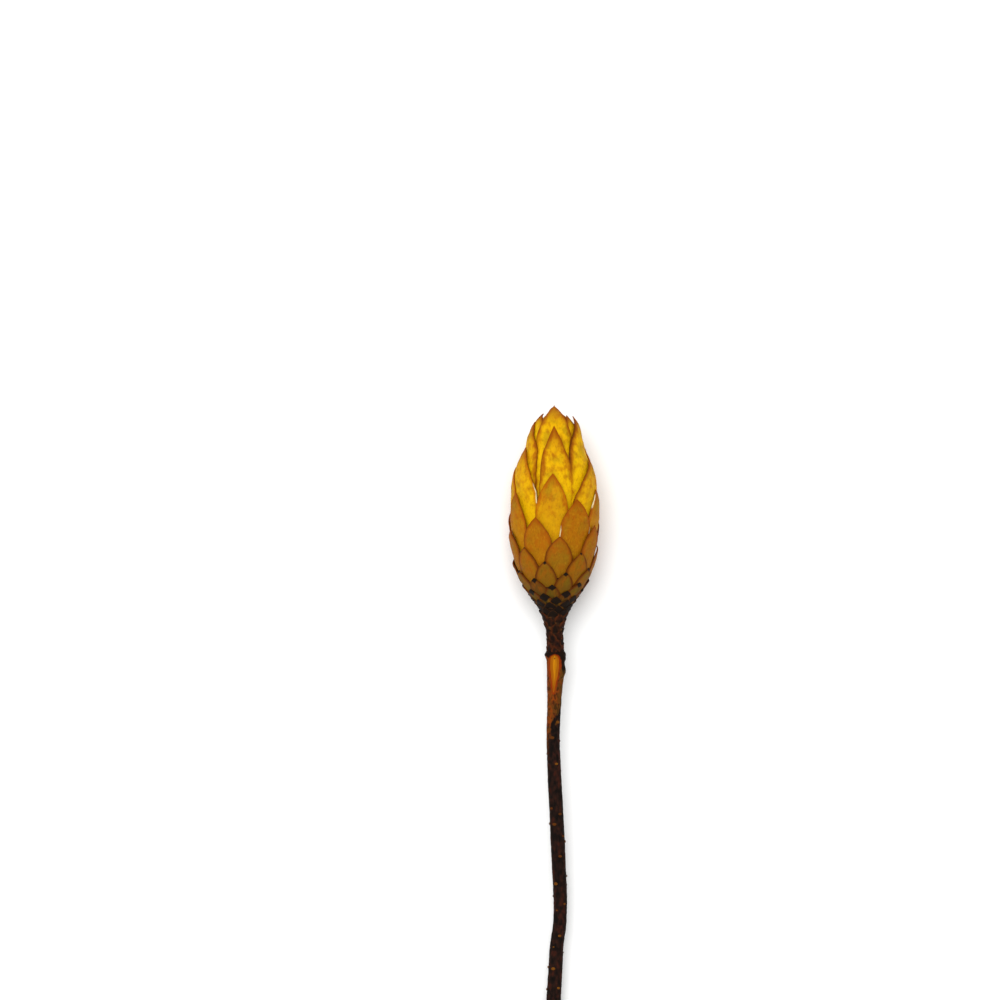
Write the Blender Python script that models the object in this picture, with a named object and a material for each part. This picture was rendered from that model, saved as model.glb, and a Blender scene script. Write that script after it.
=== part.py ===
"""A dried sugarbush bloom on its own cut stem, lying on a table.

The flower is drawn standing: its axis is +Z, the side that faces the viewer is -Y, and height 0 is the
foot of the bloom. An empty then lays it down, head away from the viewer's feet, so that the table is Z = 0.
Every length below is in millimetres until add_mesh() turns it into metres. A bearing is the angle round
the axis in degrees, from the viewer's side towards the viewer's right.
"""

import math
import random

import bmesh
import bpy

MM = 0.001

# The whole flower
STEM_FOOT = -251.0  # height of the cut end
NECK_FOOT = -19.4  # height where the scaly neck stands on the woody stem
BLOOM_FOOT = 1.0  # height where the bloom stands on the neck
SEAM = 0.3  # gap between two pieces that meet face to face

# How it lies: the axis rises towards the head, whose belly is wider than the stem
LIE_TILT = 3.46  # degrees
LIE_HEIGHT = 18.9  # height of the axis over the table at the foot of the bloom
LENGTH_MIDDLE = -77.5  # the point of the axis that lies over the origin

# (height, radius) of the closed head and the neck, over the backs of their bracts
ENVELOPE = (
    (-20.0, 4.7),
    (-12.0, 4.3),
    (-5.8, 5.3),
    (0.0, 7.2),
    (5.8, 10.8),
    (11.5, 15.0),
    (20.2, 19.3),
    (30.0, 21.3),
    (44.0, 22.5),
    (54.7, 21.9),
    (66.0, 19.8),
    (78.0, 15.5),
    (89.0, 11.8),
    (93.0, 9.0),
    (96.0, 5.2),
    (98.3, 1.9),
    (99.4, 0.3),
)
# (height, depth) of the core under that surface
CORE_DEPTH = (
    (-20.0, 0.7),
    (0.0, 0.7),
    (10.0, 1.2),
    (18.0, 2.0),
    (30.0, 3.4),
    (45.0, 4.6),
    (60.0, 5.0),
    (84.0, 5.0),
    (92.0, 4.5),
    (96.0, 3.0),
    (98.4, 1.1),
)
CORE_TOP = 98.4

# The bracts are numbered along one spiral, from the old ones at the neck to the young ones at the top
DIVERGENCE = 137.7  # degrees from each bract to the next, close to the golden angle
BEARING_OF_0 = 6.6  # bract 0 faces the viewer, a third of the way up
OLDEST, OLDEST_ON_BLOOM, OLDEST_BLADE, YOUNGEST = -90, -55, 22, 42
TIP_HEIGHT = (
    (-90, -17.5),
    (-75, -10.0),
    (-55, 0.9),
    (-50, 2.0),
    (-42, 4.7),
    (-34, 7.0),
    (-26, 9.9),
    (-21, 12.2),
    (-16, 15.6),
    (-11, 19.7),
    (-8, 23.0),
    (-3, 30.0),
    (0, 35.2),
    (3, 40.4),
    (8, 51.6),
    (13, 63.8),
    (16, 72.0),
    (18, 78.2),
    (21, 87.4),
    (24, 92.8),
    (29, 94.8),
    (34, 96.2),
    (42, 97.0),
)
WIDTH = (
    (-90, 3.6),
    (-55, 5.4),
    (-35, 6.8),
    (-21, 8.2),
    (-13, 9.6),
    (-8, 11.4),
    (0, 13.8),
    (5, 14.6),
    (9, 15.4),
    (13, 17.0),
    (16, 21.5),
    (18, 22.5),
    (21, 20.5),
    (24, 18.5),
    (27, 16.0),
    (34, 13.0),
    (42, 9.0),
)
# Length of the stretch over which a bract comes to its point
POINT_LENGTH = (
    (-90, 2.2),
    (-55, 3.0),
    (-35, 4.0),
    (-21, 5.4),
    (-13, 7.0),
    (-8, 8.2),
    (0, 11.0),
    (5, 14.0),
    (13, 18.5),
    (18, 25.0),
    (21, 28.0),
    (24, 24.0),
    (27, 15.0),
    (34, 12.0),
    (42, 10.0),
)
# How fast a bract sinks under its neighbours, down from its widest part
LEAN_IN = ((-90, 0.15), (-60, 0.2), (-45, 0.25), (-35, 0.23), (-20, 0.17), (-8, 0.13), (5, 0.11), (42, 0.11))
CUP = 0.3  # how far the margins of a large bract lie under its middle
TIP_CURL = 0.3  # how far a tip bends in
SHANK_TAPER = 0.12  # share of its width that a bract loses from its point to its root
# Bracts off the spiral: (degrees round, millimetres up, millimetres out, degrees that the root lies round)
OFF_SPIRAL = {
    -10: (-9, 0.0, 0.0, 0),
    8: (4, 0.4, 0.0, 0),
    10: (-6, 0.0, 0.0, 0),
    11: (-12, -0.6, 0.0, 0),
    13: (0, 1.0, 0.0, 0),
    15: (-5, 0.0, 0.0, 0),
    16: (28, 1.2, 0.0, -22),
    18: (-33, 0.5, 0.0, 17),
    21: (-21, 0.9, 0.0, 0),
    23: (-14, -0.6, 0.0, 8),
    24: (3, 1.0, 1.4, -27),
    26: (13, 5.2, 1.0, 0),
    28: (0, 1.4, 0.6, 0),
    29: (13, -0.2, 1.0, 0),
    30: (0, 3.6, 1.4, 0),
    31: (-14, -0.6, 1.0, 0),
    32: (0, 1.2, 0.8, 0),
}
YOUNG_DEPTH = (20, 0.22)  # past that number, each bract lies that much deeper than the one before it
BLADE_THICKNESS = 0.65
ROOT_SINK = 0.3  # how deep a root runs in the core
SPIRAL_SEED = 7

# (height, sideways, away from the viewer) of the stem's middle
STEM_ROUTE = (
    (1.0, 0.0, 0.0),
    (-9.0, 0.3, 0.0),
    (-22.0, 0.6, 0.1),
    (-40.0, 0.0, 0.4),
    (-60.0, -0.7, 0.3),
    (-78.0, -0.1, -0.2),
    (-98.0, 0.9, -0.4),
    (-120.0, 1.9, 0.0),
    (-138.0, 2.6, 0.4),
    (-147.0, 2.8, 0.3),
    (-158.0, 1.6, -0.2),
    (-170.0, 0.7, -0.3),
    (-186.0, -0.2, 0.2),
    (-215.0, -1.4, 0.3),
    (-251.0, -2.4, 0.0),
)
STEM_RADIUS = (
    (-19.0, 4.4),
    (-24.0, 4.4),
    (-30.0, 4.2),
    (-35.0, 3.95),
    (-42.0, 3.55),
    (-62.0, 3.3),
    (-90.0, 3.5),
    (-120.0, 3.6),
    (-150.0, 3.45),
    (-170.0, 3.7),
    (-251.0, 3.9),
)
STEM_SIDES = 14
STEM_STEP = 7.0
COLLAR_STEP = 1.8
COLLAR_FOOT = -40.0
CUT_SLOPE = 0.75  # rise of the slanted cut across the stem
# (height, bearing, how far it stands out, reach along the stem, reach round it in degrees)
KNOBS = ((-20.6, -82.0, 0.9, 1.6, 26.0), (-22.2, 78.0, 0.6, 1.4, 24.0), (-28.2, 84.0, 0.9, 2.4, 30.0))
SCAR_TOP, SCAR_FOOT = -21.0, -38.0
SCAR_HALF_ANGLE = 34.0
SCAR_DEPTH = 0.55

# sRGB colour and roughness of each finish
GOLDEN_BRACT = ("#b9800a", 0.55)
DARK_SCALE = ("#33211a", 0.7)
BROWN_BARK = ("#3a261c", 0.65)


def clear_scene():
    for found in list(bpy.data.objects):
        bpy.data.objects.remove(found, do_unlink=True)


def along(points, x, column=1):
    """A smooth curve through the points, read at x. It is held level past either end."""
    rows = sorted(points)
    xs = [row[0] for row in rows]
    ys = [row[column] for row in rows]
    if x <= xs[0]:
        return ys[0]
    if x >= xs[-1]:
        return ys[-1]
    slopes = [(ys[i + 1] - ys[i]) / (xs[i + 1] - xs[i]) for i in range(len(xs) - 1)]

    def slope_at(i):
        if i in (0, len(xs) - 1):
            return slopes[min(i, len(slopes) - 1)]
        if slopes[i - 1] * slopes[i] <= 0:
            return 0.0
        return 2 * slopes[i - 1] * slopes[i] / (slopes[i - 1] + slopes[i])

    i = max(j for j in range(len(xs) - 1) if xs[j] <= x)
    step = xs[i + 1] - xs[i]
    s = (x - xs[i]) / step
    return (
        ys[i] * (1 + 2 * s) * (1 - s) ** 2
        + slope_at(i) * step * s * (1 - s) ** 2
        + ys[i + 1] * s * s * (3 - 2 * s)
        + slope_at(i + 1) * step * s * s * (s - 1)
    )


def standing(radius, bearing, height):
    """The point at that distance from the axis, on the standing flower."""
    turn = math.radians(bearing)
    return (radius * math.sin(turn), -radius * math.cos(turn), height)


def on_stalk(radius, bearing, height):
    """A point of the head or the neck. The neck bends a little sideways, to meet the stem."""
    x, y, z = standing(radius, bearing, height)
    down = min(max(height / NECK_FOOT, 0.0), 1.0)
    return (x + along(STEM_ROUTE, NECK_FOOT) * down * down, y, z)


def bract_facts(number):
    """Where a bract stands and how large it is: bearing, lean, tip height, width and point length."""
    chance = random.Random(SPIRAL_SEED * 1000 + number)
    turn, up, out, lean = OFF_SPIRAL.get(number, (0.0, 0.0, 0.0, 0.0))
    size = min(1.0, along(WIDTH, number) / 14.0)
    return {
        "bearing": BEARING_OF_0 + number * DIVERGENCE + turn + chance.uniform(-1.5, 1.5),
        "lean": lean + chance.uniform(-3.0, 3.0) * size,
        "tip": along(TIP_HEIGHT, number) + up + chance.uniform(-0.5, 0.5) * size,
        "width": along(WIDTH, number) * chance.uniform(0.96, 1.04),
        "point": along(POINT_LENGTH, number),
        "lean_in": along(LEAN_IN, number),
        "out": out - YOUNG_DEPTH[1] * max(number - YOUNG_DEPTH[0], 0),
        "cup": CUP * size,
    }


def sunk(facts, below_tip):
    """How deep the bract's back lies under the surface of the head: it bends in at the tip, touches that
    surface a little lower, then runs in under its neighbours."""
    widest = 0.3 * facts["point"]
    curl = TIP_CURL * max(1 - below_tip / widest, 0.0) ** 2
    return facts["lean_in"] * max(below_tip - widest, 0.0) + curl - facts["out"]


def root_height(facts, depth):
    """The height where the bract's back has sunk that deep in the core, below its pointed stretch."""
    height = facts["tip"] - 1.2 * facts["point"]
    while sunk(facts, facts["tip"] - height) < along(CORE_DEPTH, height) + depth:
        height -= 0.25
    return height


def half_width(facts, below_tip, length):
    """Convex sides that meet at a point, over a shank that narrows a little towards the root."""
    if below_tip < facts["point"]:
        return facts["width"] / 2 * (1 - (1 - below_tip / facts["point"]) ** 1.7)
    shank = (below_tip - facts["point"]) / max(length - facts["point"], 0.1)
    return facts["width"] / 2 * (1 - SHANK_TAPER * min(shank, 1.0) ** 2)


def bract_rows(facts, length, point_rows, shank_rows):
    """Distances below the tip, from the root up, closer together where the outline turns."""
    rows = [facts["point"] * part for part in point_rows if facts["point"] * part < length - 0.6]
    start = rows[0]
    shank = [start + (length - start) * (j + 1) / shank_rows for j in range(shank_rows)]
    return list(reversed(shank)) + rows


def bract_shell(number):
    """The points and faces of one bract. The young ones at the top are curved blades. The others lie so close
    that only their backs show, and they are solid down to the core."""
    facts = bract_facts(number)
    blade = number >= OLDEST_BLADE
    root = root_height(facts, ROOT_SINK + (BLADE_THICKNESS if blade else 0.0))
    length = facts["tip"] - root
    if number > -14:
        rows = bract_rows(facts, length, (1.0, 0.55, 0.2), 2 if blade else 1)
        columns = (-1.0, -0.5, 0.0, 0.5, 1.0)
    else:
        rows = bract_rows(facts, length, (0.6, 0.2), 1)
        columns = (-1.0, 0.0, 1.0)

    def profile(below):
        """Radius and height of the middle of the bract's back, that far below its tip."""
        height = facts["tip"] - below
        return max(along(ENVELOPE, height) - sunk(facts, below), 0.2), height

    def corner(below, across, inner):
        radius, height = profile(below)
        spread = half_width(facts, below, length) if below > 0 else 0.0
        bearing = facts["bearing"] + facts["lean"] * below / length
        bearing += math.degrees(across * spread / max(radius, 3.0))
        radius -= facts["cup"] * across * across * min(below / 4, 1.0)
        if not inner:
            return on_stalk(radius, bearing, height)
        if not blade:
            under = max(sunk(facts, below), along(CORE_DEPTH, height)) + ROOT_SINK
            return on_stalk(max(along(ENVELOPE, height) - under, 0.1), bearing, height)
        low, high = profile(below + 0.5), profile(max(below - 0.5, 0.0))
        run = math.dist(low, high)
        out, up = (high[1] - low[1]) / run, -(high[0] - low[0]) / run
        return on_stalk(radius - BLADE_THICKNESS * out, bearing, height - BLADE_THICKNESS * up)

    points, faces = [], []
    for inner in (False, True):
        for below in rows:
            points += [corner(below, across, inner) for across in columns]
        points.append(corner(0.0, 0.0, inner))
    wide, count = len(columns), len(rows)
    layer = wide * count + 1

    def at(inner, row, column):
        return layer * inner + wide * row + column

    for row in range(count - 1):
        for column in range(wide - 1):
            ring = [at(0, row, column), at(0, row, column + 1), at(0, row + 1, column + 1), at(0, row + 1, column)]
            faces += [ring, [layer + i for i in reversed(ring)]]
    for column in range(wide - 1):
        last = [at(0, count - 1, column), at(0, count - 1, column + 1), layer - 1]
        faces += [last, [layer + i for i in reversed(last)]]
        faces.append([at(0, 0, column + 1), at(0, 0, column), at(1, 0, column), at(1, 0, column + 1)])
    for row in range(count - 1):
        faces.append([at(0, row, 0), at(0, row + 1, 0), at(1, row + 1, 0), at(1, row, 0)])
        faces.append([at(0, row + 1, wide - 1), at(0, row, wide - 1), at(1, row, wide - 1), at(1, row + 1, wide - 1)])
    faces.append([at(0, count - 1, 0), layer - 1, 2 * layer - 1, at(1, count - 1, 0)])
    faces.append([layer - 1, at(0, count - 1, wide - 1), at(1, count - 1, wide - 1), 2 * layer - 1])
    return points, faces


def ring_shell(rings):
    """The points and faces of a tube with flat ends, through rings of points that run up the flower."""
    sides = len(rings[0])
    points = [point for ring in rings for point in ring]
    faces = []
    for i in range(len(rings) - 1):
        for j in range(sides):
            k = (j + 1) % sides
            faces.append([i * sides + j, i * sides + k, (i + 1) * sides + k, (i + 1) * sides + j])
    faces.append(list(reversed(range(sides))))
    faces.append([(len(rings) - 1) * sides + j for j in range(sides)])
    return points, faces


def finish(name, colour, roughness):
    """A Principled material from an sRGB hex colour."""
    made = bpy.data.materials.new(name)
    made.use_nodes = True
    shader = made.node_tree.nodes["Principled BSDF"]
    srgb = [int(colour[i : i + 2], 16) / 255 for i in (1, 3, 5)]
    linear = [c / 12.92 if c <= 0.04045 else ((c + 0.055) / 1.055) ** 2.4 for c in srgb]
    shader.inputs["Base Color"].default_value = (*linear, 1.0)
    shader.inputs["Roughness"].default_value = roughness
    return made


def add_mesh(name, points, faces, collection=None):
    """A mesh object with outward faces, in metres."""
    mesh = bpy.data.meshes.new(name)
    mesh.from_pydata([[c * MM for c in point] for point in points], [], faces)
    work = bmesh.new()
    work.from_mesh(mesh)
    bmesh.ops.triangulate(work, faces=work.faces)
    bmesh.ops.recalc_face_normals(work, faces=work.faces)
    work.to_mesh(mesh)
    work.free()
    made = bpy.data.objects.new(name, mesh)
    (collection or bpy.context.scene.collection).objects.link(made)
    return made


def add_block(name, low, high):
    """A hidden box that trims a piece, in millimetres."""
    corners = [[(low, high)[i >> k & 1][k] for k in range(3)] for i in range(8)]
    faces = [(0, 2, 3, 1), (4, 5, 7, 6), (0, 1, 5, 4), (2, 6, 7, 3), (0, 4, 6, 2), (1, 3, 7, 5)]
    block = add_mesh(name, corners, faces)
    block.hide_render = True
    block.display_type = "WIRE"
    return block


def outer_shell(mesh):
    """Leaves only the largest closed surface, so that a sealed hollow is filled and a loose scrap dropped."""
    work = bmesh.new()
    work.from_mesh(mesh)
    left, shells = set(work.faces), []
    while left:
        shell, edge = [], [left.pop()]
        while edge:
            face = edge.pop()
            shell.append(face)
            near = {other for side in face.edges for other in side.link_faces} & left
            left -= near
            edge += near
        shells.append(shell)
    shells.sort(key=len)
    bmesh.ops.delete(work, geom=[face for shell in shells[:-1] for face in shell], context="FACES")
    work.to_mesh(mesh)
    work.free()


def fuse(body, others):
    """Joins a collection of overlapping solids to the body in one Boolean union, and removes them."""
    union = body.modifiers.new("union", "BOOLEAN")
    union.operation = "UNION"
    union.operand_type = "COLLECTION"
    union.collection = others
    union.solver = "MANIFOLD"
    graph = bpy.context.evaluated_depsgraph_get()
    joined = bpy.data.meshes.new_from_object(body.evaluated_get(graph))
    body.modifiers.remove(union)
    body.data = joined
    for used in list(others.objects):
        bpy.data.objects.remove(used, do_unlink=True)
    bpy.data.collections.remove(others)
    outer_shell(joined)


def cut_away(piece, block):
    cut = piece.modifiers.new(block.name, "BOOLEAN")
    cut.operation = "DIFFERENCE"
    cut.object = block
    cut.solver = "MANIFOLD"


def square_off(piece, low, high):
    """Cuts the piece off square at both heights, so that it meets its neighbours face to face."""
    for end, bottom, top in (("foot", low - 30.0, low), ("top", high, high + 30.0)):
        block = add_block(f"{piece.name}_{end}_trim", (-40.0, -40.0, bottom), (40.0, 40.0, top))
        block.parent = piece
        cut_away(piece, block)


def core_rings(heights, sides):
    """Rings of the core that carries the bracts."""
    rings = []
    for height in heights:
        radius = along(ENVELOPE, height) - along(CORE_DEPTH, height)
        rings.append([on_stalk(radius, 360.0 * (j + 1) / sides, height) for j in range(sides)])
    return rings


def build_scaly_body(name, heights, sides, numbers, material):
    """The core with every bract of those numbers fused to it."""
    body = add_mesh(name, *ring_shell(core_rings(heights, sides)))
    bracts = bpy.data.collections.new(name + "_bracts")
    bpy.context.scene.collection.children.link(bracts)
    for number in numbers:
        add_mesh(f"bract_{number}", *bract_shell(number), bracts)
    fuse(body, bracts)
    body.data.materials.clear()
    body.data.materials.append(material)
    return body


def stem_ring(height, rise):
    """One ring of the stem, with its knobs and the flat of the torn scar. rise slants it for the cut end."""
    middle = along(STEM_ROUTE, height, 1), along(STEM_ROUTE, height, 2)
    ring = []
    for j in range(STEM_SIDES):
        bearing = 360.0 * j / STEM_SIDES
        turn = math.radians(bearing)
        radius = along(STEM_RADIUS, height)
        for knob_height, knob_bearing, out, reach, spread in KNOBS:
            apart = (bearing - knob_bearing + 180) % 360 - 180
            radius += out * math.exp(-(((height - knob_height) / reach) ** 2) - (apart / spread) ** 2)
        share = (height - SCAR_FOOT) / (SCAR_TOP - SCAR_FOOT)
        apart = abs((bearing + 180) % 360 - 180)
        if 0 < share <= 1 and apart < SCAR_HALF_ANGLE * math.sqrt(share) + 1:
            radius -= SCAR_DEPTH * min(1.0, 3 * share, 6 * (1 - share) + 0.3)
        x, y, z = standing(radius, bearing, height)
        ring.append((x + middle[0], y + middle[1], z + rise * radius * math.sin(turn)))
    return ring


def build_stem(material):
    """The woody stalk, from its slanted cut up to the collar under the neck."""
    top = NECK_FOOT - SEAM
    fine = round((top - COLLAR_FOOT) / COLLAR_STEP)
    coarse = round((COLLAR_FOOT - STEM_FOOT) / STEM_STEP)
    heights = [STEM_FOOT + (COLLAR_FOOT - STEM_FOOT) * i / coarse for i in range(coarse)]
    heights += [COLLAR_FOOT + (top - COLLAR_FOOT) * i / fine for i in range(fine + 1)]
    rings = [stem_ring(h, CUT_SLOPE if h == STEM_FOOT else 0.0) for h in heights]
    stem = add_mesh("stem", *ring_shell(rings))
    stem.data.materials.append(material)
    return stem


def lay_down(pieces):
    """Parents the pieces to an empty that lays the flower on the table, its length centred on the origin."""
    bed = bpy.data.objects.new("lying_flower", None)
    bpy.context.scene.collection.objects.link(bed)
    bed.rotation_euler = (math.radians(LIE_TILT - 90), 0.0, 0.0)
    bed.location = (0.0, -LENGTH_MIDDLE * math.cos(math.radians(LIE_TILT)) * MM, LIE_HEIGHT * MM)
    for piece in pieces:
        piece.parent = bed


def main():
    clear_scene()
    golden = finish("golden_bract", *GOLDEN_BRACT)
    dark = finish("dark_scale", *DARK_SCALE)
    bark = finish("brown_bark", *BROWN_BARK)
    bloom_core = [BLOOM_FOOT, 6.0, 11.0, 17.0, 25.0, 35.0, 45.0, 56.0, 66.0, 77.0, 86.0, 92.0, 96.0, CORE_TOP]
    bloom = build_scaly_body("bloom", bloom_core, 20, range(OLDEST_ON_BLOOM, YOUNGEST + 1), golden)
    square_off(bloom, BLOOM_FOOT + SEAM / 2, 110.0)
    neck_core = [NECK_FOOT, -15.0, -10.0, -6.0, -2.5, BLOOM_FOOT - SEAM / 2]
    neck = build_scaly_body("neck", neck_core, 16, range(OLDEST, OLDEST_ON_BLOOM), dark)
    square_off(neck, NECK_FOOT, BLOOM_FOOT - SEAM / 2)
    stem = build_stem(bark)
    lay_down([bloom, neck, stem])
    table = add_block("table_trim", (-60.0, -250.0, -60.0), (60.0, 250.0, 0.0))
    cut_away(bloom, table)
    cut_away(stem, table)


main()
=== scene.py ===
# %% [markdown]
# # A dried sugarbush bloom
#
# This notebook dresses a plain solid model of a dried protea: a closed head of golden bracts, a dark
# scaly neck and a bare woody stem, lying on a table. The solids say where everything is and how large.
# Each cell below lays a finer surface over one of them, or gives it a finish.

# %% Load the plain solids
import math
import random
from functools import partial

import bpy
from mathutils import Matrix, Vector


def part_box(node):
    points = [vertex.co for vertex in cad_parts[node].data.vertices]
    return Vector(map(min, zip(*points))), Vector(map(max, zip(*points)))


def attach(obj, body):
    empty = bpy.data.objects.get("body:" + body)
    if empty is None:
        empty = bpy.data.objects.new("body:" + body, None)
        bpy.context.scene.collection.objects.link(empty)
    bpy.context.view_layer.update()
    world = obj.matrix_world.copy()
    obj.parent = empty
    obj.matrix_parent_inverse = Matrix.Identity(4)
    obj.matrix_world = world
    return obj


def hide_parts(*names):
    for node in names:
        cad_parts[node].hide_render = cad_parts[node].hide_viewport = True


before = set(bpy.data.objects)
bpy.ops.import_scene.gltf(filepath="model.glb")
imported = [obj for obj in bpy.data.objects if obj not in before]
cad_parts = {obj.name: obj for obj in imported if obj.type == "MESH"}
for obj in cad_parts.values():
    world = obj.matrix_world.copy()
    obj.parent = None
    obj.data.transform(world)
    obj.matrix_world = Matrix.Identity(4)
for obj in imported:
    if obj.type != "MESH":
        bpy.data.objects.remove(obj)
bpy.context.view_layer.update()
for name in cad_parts:
    low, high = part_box(name)
    print(name, "from", [round(c * 1000, 1) for c in low], "to", [round(c * 1000, 1) for c in high], "mm")

# %% [markdown]
# ## One way to add nodes
#
# Trees of nodes make both the shapes and the finishes here. One helper makes a node, sets its options and
# joins its inputs, so that a tree reads from top to bottom like a recipe. An input can be a value, a
# socket or another node, which then stands for its first output.

# %% Helper for nodes and colours
def fill(node, inputs):
    """Fills or joins the inputs of a node, given by name or in their order."""
    for key, value in inputs.items() if isinstance(inputs, dict) else enumerate(inputs):
        if isinstance(value, bpy.types.Node):
            value = next(out for out in value.outputs if out.enabled)
        if isinstance(value, bpy.types.NodeSocket):
            node.id_data.links.new(value, node.inputs[key])
        else:
            node.inputs[key].default_value = value


def add(tree, kind, inputs=(), operation=None, **options):
    """Adds a node, sets its options, then fills its inputs."""
    made = tree.nodes.new(kind)
    if operation:
        options["operation"] = operation
    for option, value in options.items():
        setattr(made, option, value)
    fill(made, inputs)
    return made


# RANGE takes (value, from, to, first result, last result), and the results are 0 and 1 if left out
MATH, MIX, NOISE, RANGE = "ShaderNodeMath", "ShaderNodeMix", "ShaderNodeTexNoise", "ShaderNodeMapRange"
VECTOR, SPLIT, JOIN = "ShaderNodeVectorMath", "ShaderNodeSeparateXYZ", "ShaderNodeCombineXYZ"
STORED, STORE = "GeometryNodeInputNamedAttribute", "GeometryNodeStoreNamedAttribute"
POSITION, MOVE = "GeometryNodeInputPosition", "GeometryNodeSetPosition"
XYZ = "FLOAT_VECTOR"


def colour(hex_code):
    """The linear colour that an sRGB hex code stands for."""
    srgb = [int(hex_code[i : i + 2], 16) / 255 for i in (1, 3, 5)]
    return (*(c / 12.92 if c <= 0.04045 else ((c + 0.055) / 1.055) ** 2.4 for c in srgb), 1.0)


# %% [markdown]
# ## How the flower lies
#
# A flower is easiest to describe standing up: its axis is Z, the side that faces the viewer is -Y, and
# height 0 is the foot of the bloom, all in millimetres. One matrix then lays it down. The head is wider
# than the stem, so the axis rises a few degrees towards the head, and the belly of the head and the cut
# end of the stem both touch.

# %% The lying matrix
MM = 0.001
LIE_TILT, LIE_HEIGHT = 3.46, 18.9  # degrees that the axis rises, and how high the foot of the bloom lies
LENGTH_MIDDLE = -77.5  # the height that lies over the origin
laid = (
    Matrix.Translation((0.0, -LENGTH_MIDDLE * math.cos(math.radians(LIE_TILT)) * MM, LIE_HEIGHT * MM))
    @ Matrix.Rotation(math.radians(LIE_TILT - 90), 4, "X")
    @ Matrix.Scale(MM, 4)
)


def lay_down(point):
    """Takes a point of the standing flower, in millimetres, to where it lies, in metres."""
    return laid @ Vector(point)


print("the tip of the head lies at", [round(c * 1000, 1) for c in lay_down((0, 0, 99))], "mm")

# %% [markdown]
# ## Camera, table and light
#
# The flower was photographed a few degrees from square on, from the side of the stem, in light that comes
# from nearly everywhere. A long lens far above the table gives that flat, true outline. A wide soft panel
# and a bright room give the light, and the table is a plain pale sheet.

# %% Camera
scene = bpy.context.scene
VIEW_SIZE = 480.0  # millimetres across the picture
VIEW_MIDDLE = (-26.05, 53.8)  # distance to the right of the axis, and height
VIEW_TILT = math.radians(8.0)
LENS, SENSOR = 112.0, 36.0
look_at = lay_down((VIEW_MIDDLE[0], 0.0, VIEW_MIDDLE[1]))


def new_object(name, data):
    """A new object in the scene."""
    made = bpy.data.objects.new(name, data)
    scene.collection.objects.link(made)
    return made


camera = new_object("camera", bpy.data.cameras.new("camera"))
camera.data.lens, camera.data.sensor_width = LENS, SENSOR
away = VIEW_SIZE * MM * LENS / SENSOR
camera.location = look_at + away * Vector((0.0, -math.sin(VIEW_TILT), math.cos(VIEW_TILT)))
camera.rotation_euler = (VIEW_TILT, 0.0, 0.0)
scene.camera = camera
print("camera at", [round(c, 3) for c in camera.location], "m")

# %% Table
def mesh_object(name, points, faces, edges=()):
    """A new object made of these points, faces and edges."""
    mesh = bpy.data.meshes.new(name)
    mesh.from_pydata(points, edges, faces)
    return new_object(name, mesh)


def store(made, name, values, kind="FLOAT"):
    """Stores a value, or the three numbers of a vector, for each point of an object."""
    column = made.data.attributes.new(name, kind, "POINT")
    column.data.foreach_set("vector" if kind == XYZ else "value", values)


table = mesh_object("table", [(-3, -3, 0), (3, -3, 0), (3, 3, 0), (-3, 3, 0)], [(0, 1, 2, 3)])
paper = bpy.data.materials.new("white_paper_sheet")
paper.use_nodes = True
paper_look = {"Base Color": colour("#fafaf9"), "Roughness": 0.9, "Specular IOR Level": 0.1}
fill(paper.node_tree.nodes["Principled BSDF"], paper_look)
table.data.materials.append(paper)

# %% Light
PANEL_PLACE, PANEL_AIM = Vector((-0.2, 0.3, 1.5)), Vector((0.0, 0.05, 0.0))
PANEL_SIZE, PANEL_WATTS, ROOM_STRENGTH = 1.2, 16.0, 0.72
panel = new_object("soft_panel", bpy.data.lights.new("soft_panel", "AREA"))
panel.data.shape, panel.data.size, panel.data.energy = "DISK", PANEL_SIZE, PANEL_WATTS
panel.location = PANEL_PLACE
panel.rotation_euler = (PANEL_AIM - PANEL_PLACE).to_track_quat("-Z", "Y").to_euler()
room = bpy.data.worlds.new("bright_room")
room.use_nodes = True
white_light = {"Color": (1.0, 1.0, 1.0, 1.0), "Strength": ROOM_STRENGTH}
fill(room.node_tree.nodes["Background"], white_light)
scene.world = room
scene.view_settings.view_transform = "Standard"

# %% [markdown]
# ## The shape of the head
#
# A protea head is built like a pine cone. Its outline is one smooth curve, and every bract touches that
# curve with its back, then runs in under its neighbours to the core. So two short tables say it all: how
# wide the head is at each height, and how deep the core lies under that.

# %% Outline of the head
# (height, radius)
ENVELOPE = (
    (-20.0, 4.7), (-12.0, 4.3), (-5.8, 5.3), (0.0, 7.2), (5.8, 10.8), (11.5, 15.0), (20.2, 19.3),
    (30.0, 21.3), (44.0, 22.5), (54.7, 21.9), (66.0, 19.8), (78.0, 15.5), (89.0, 11.8), (93.0, 9.0),
    (96.0, 5.2), (98.3, 1.9), (99.4, 0.3),
)
# (height, depth of the core under the outline)
CORE_DEPTH = (
    (-20.0, 0.7), (0.0, 0.7), (10.0, 1.2), (18.0, 2.0), (30.0, 3.4), (45.0, 4.6), (60.0, 5.0),
    (84.0, 5.0), (92.0, 4.5), (96.0, 3.0), (98.4, 1.1),
)


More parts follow.
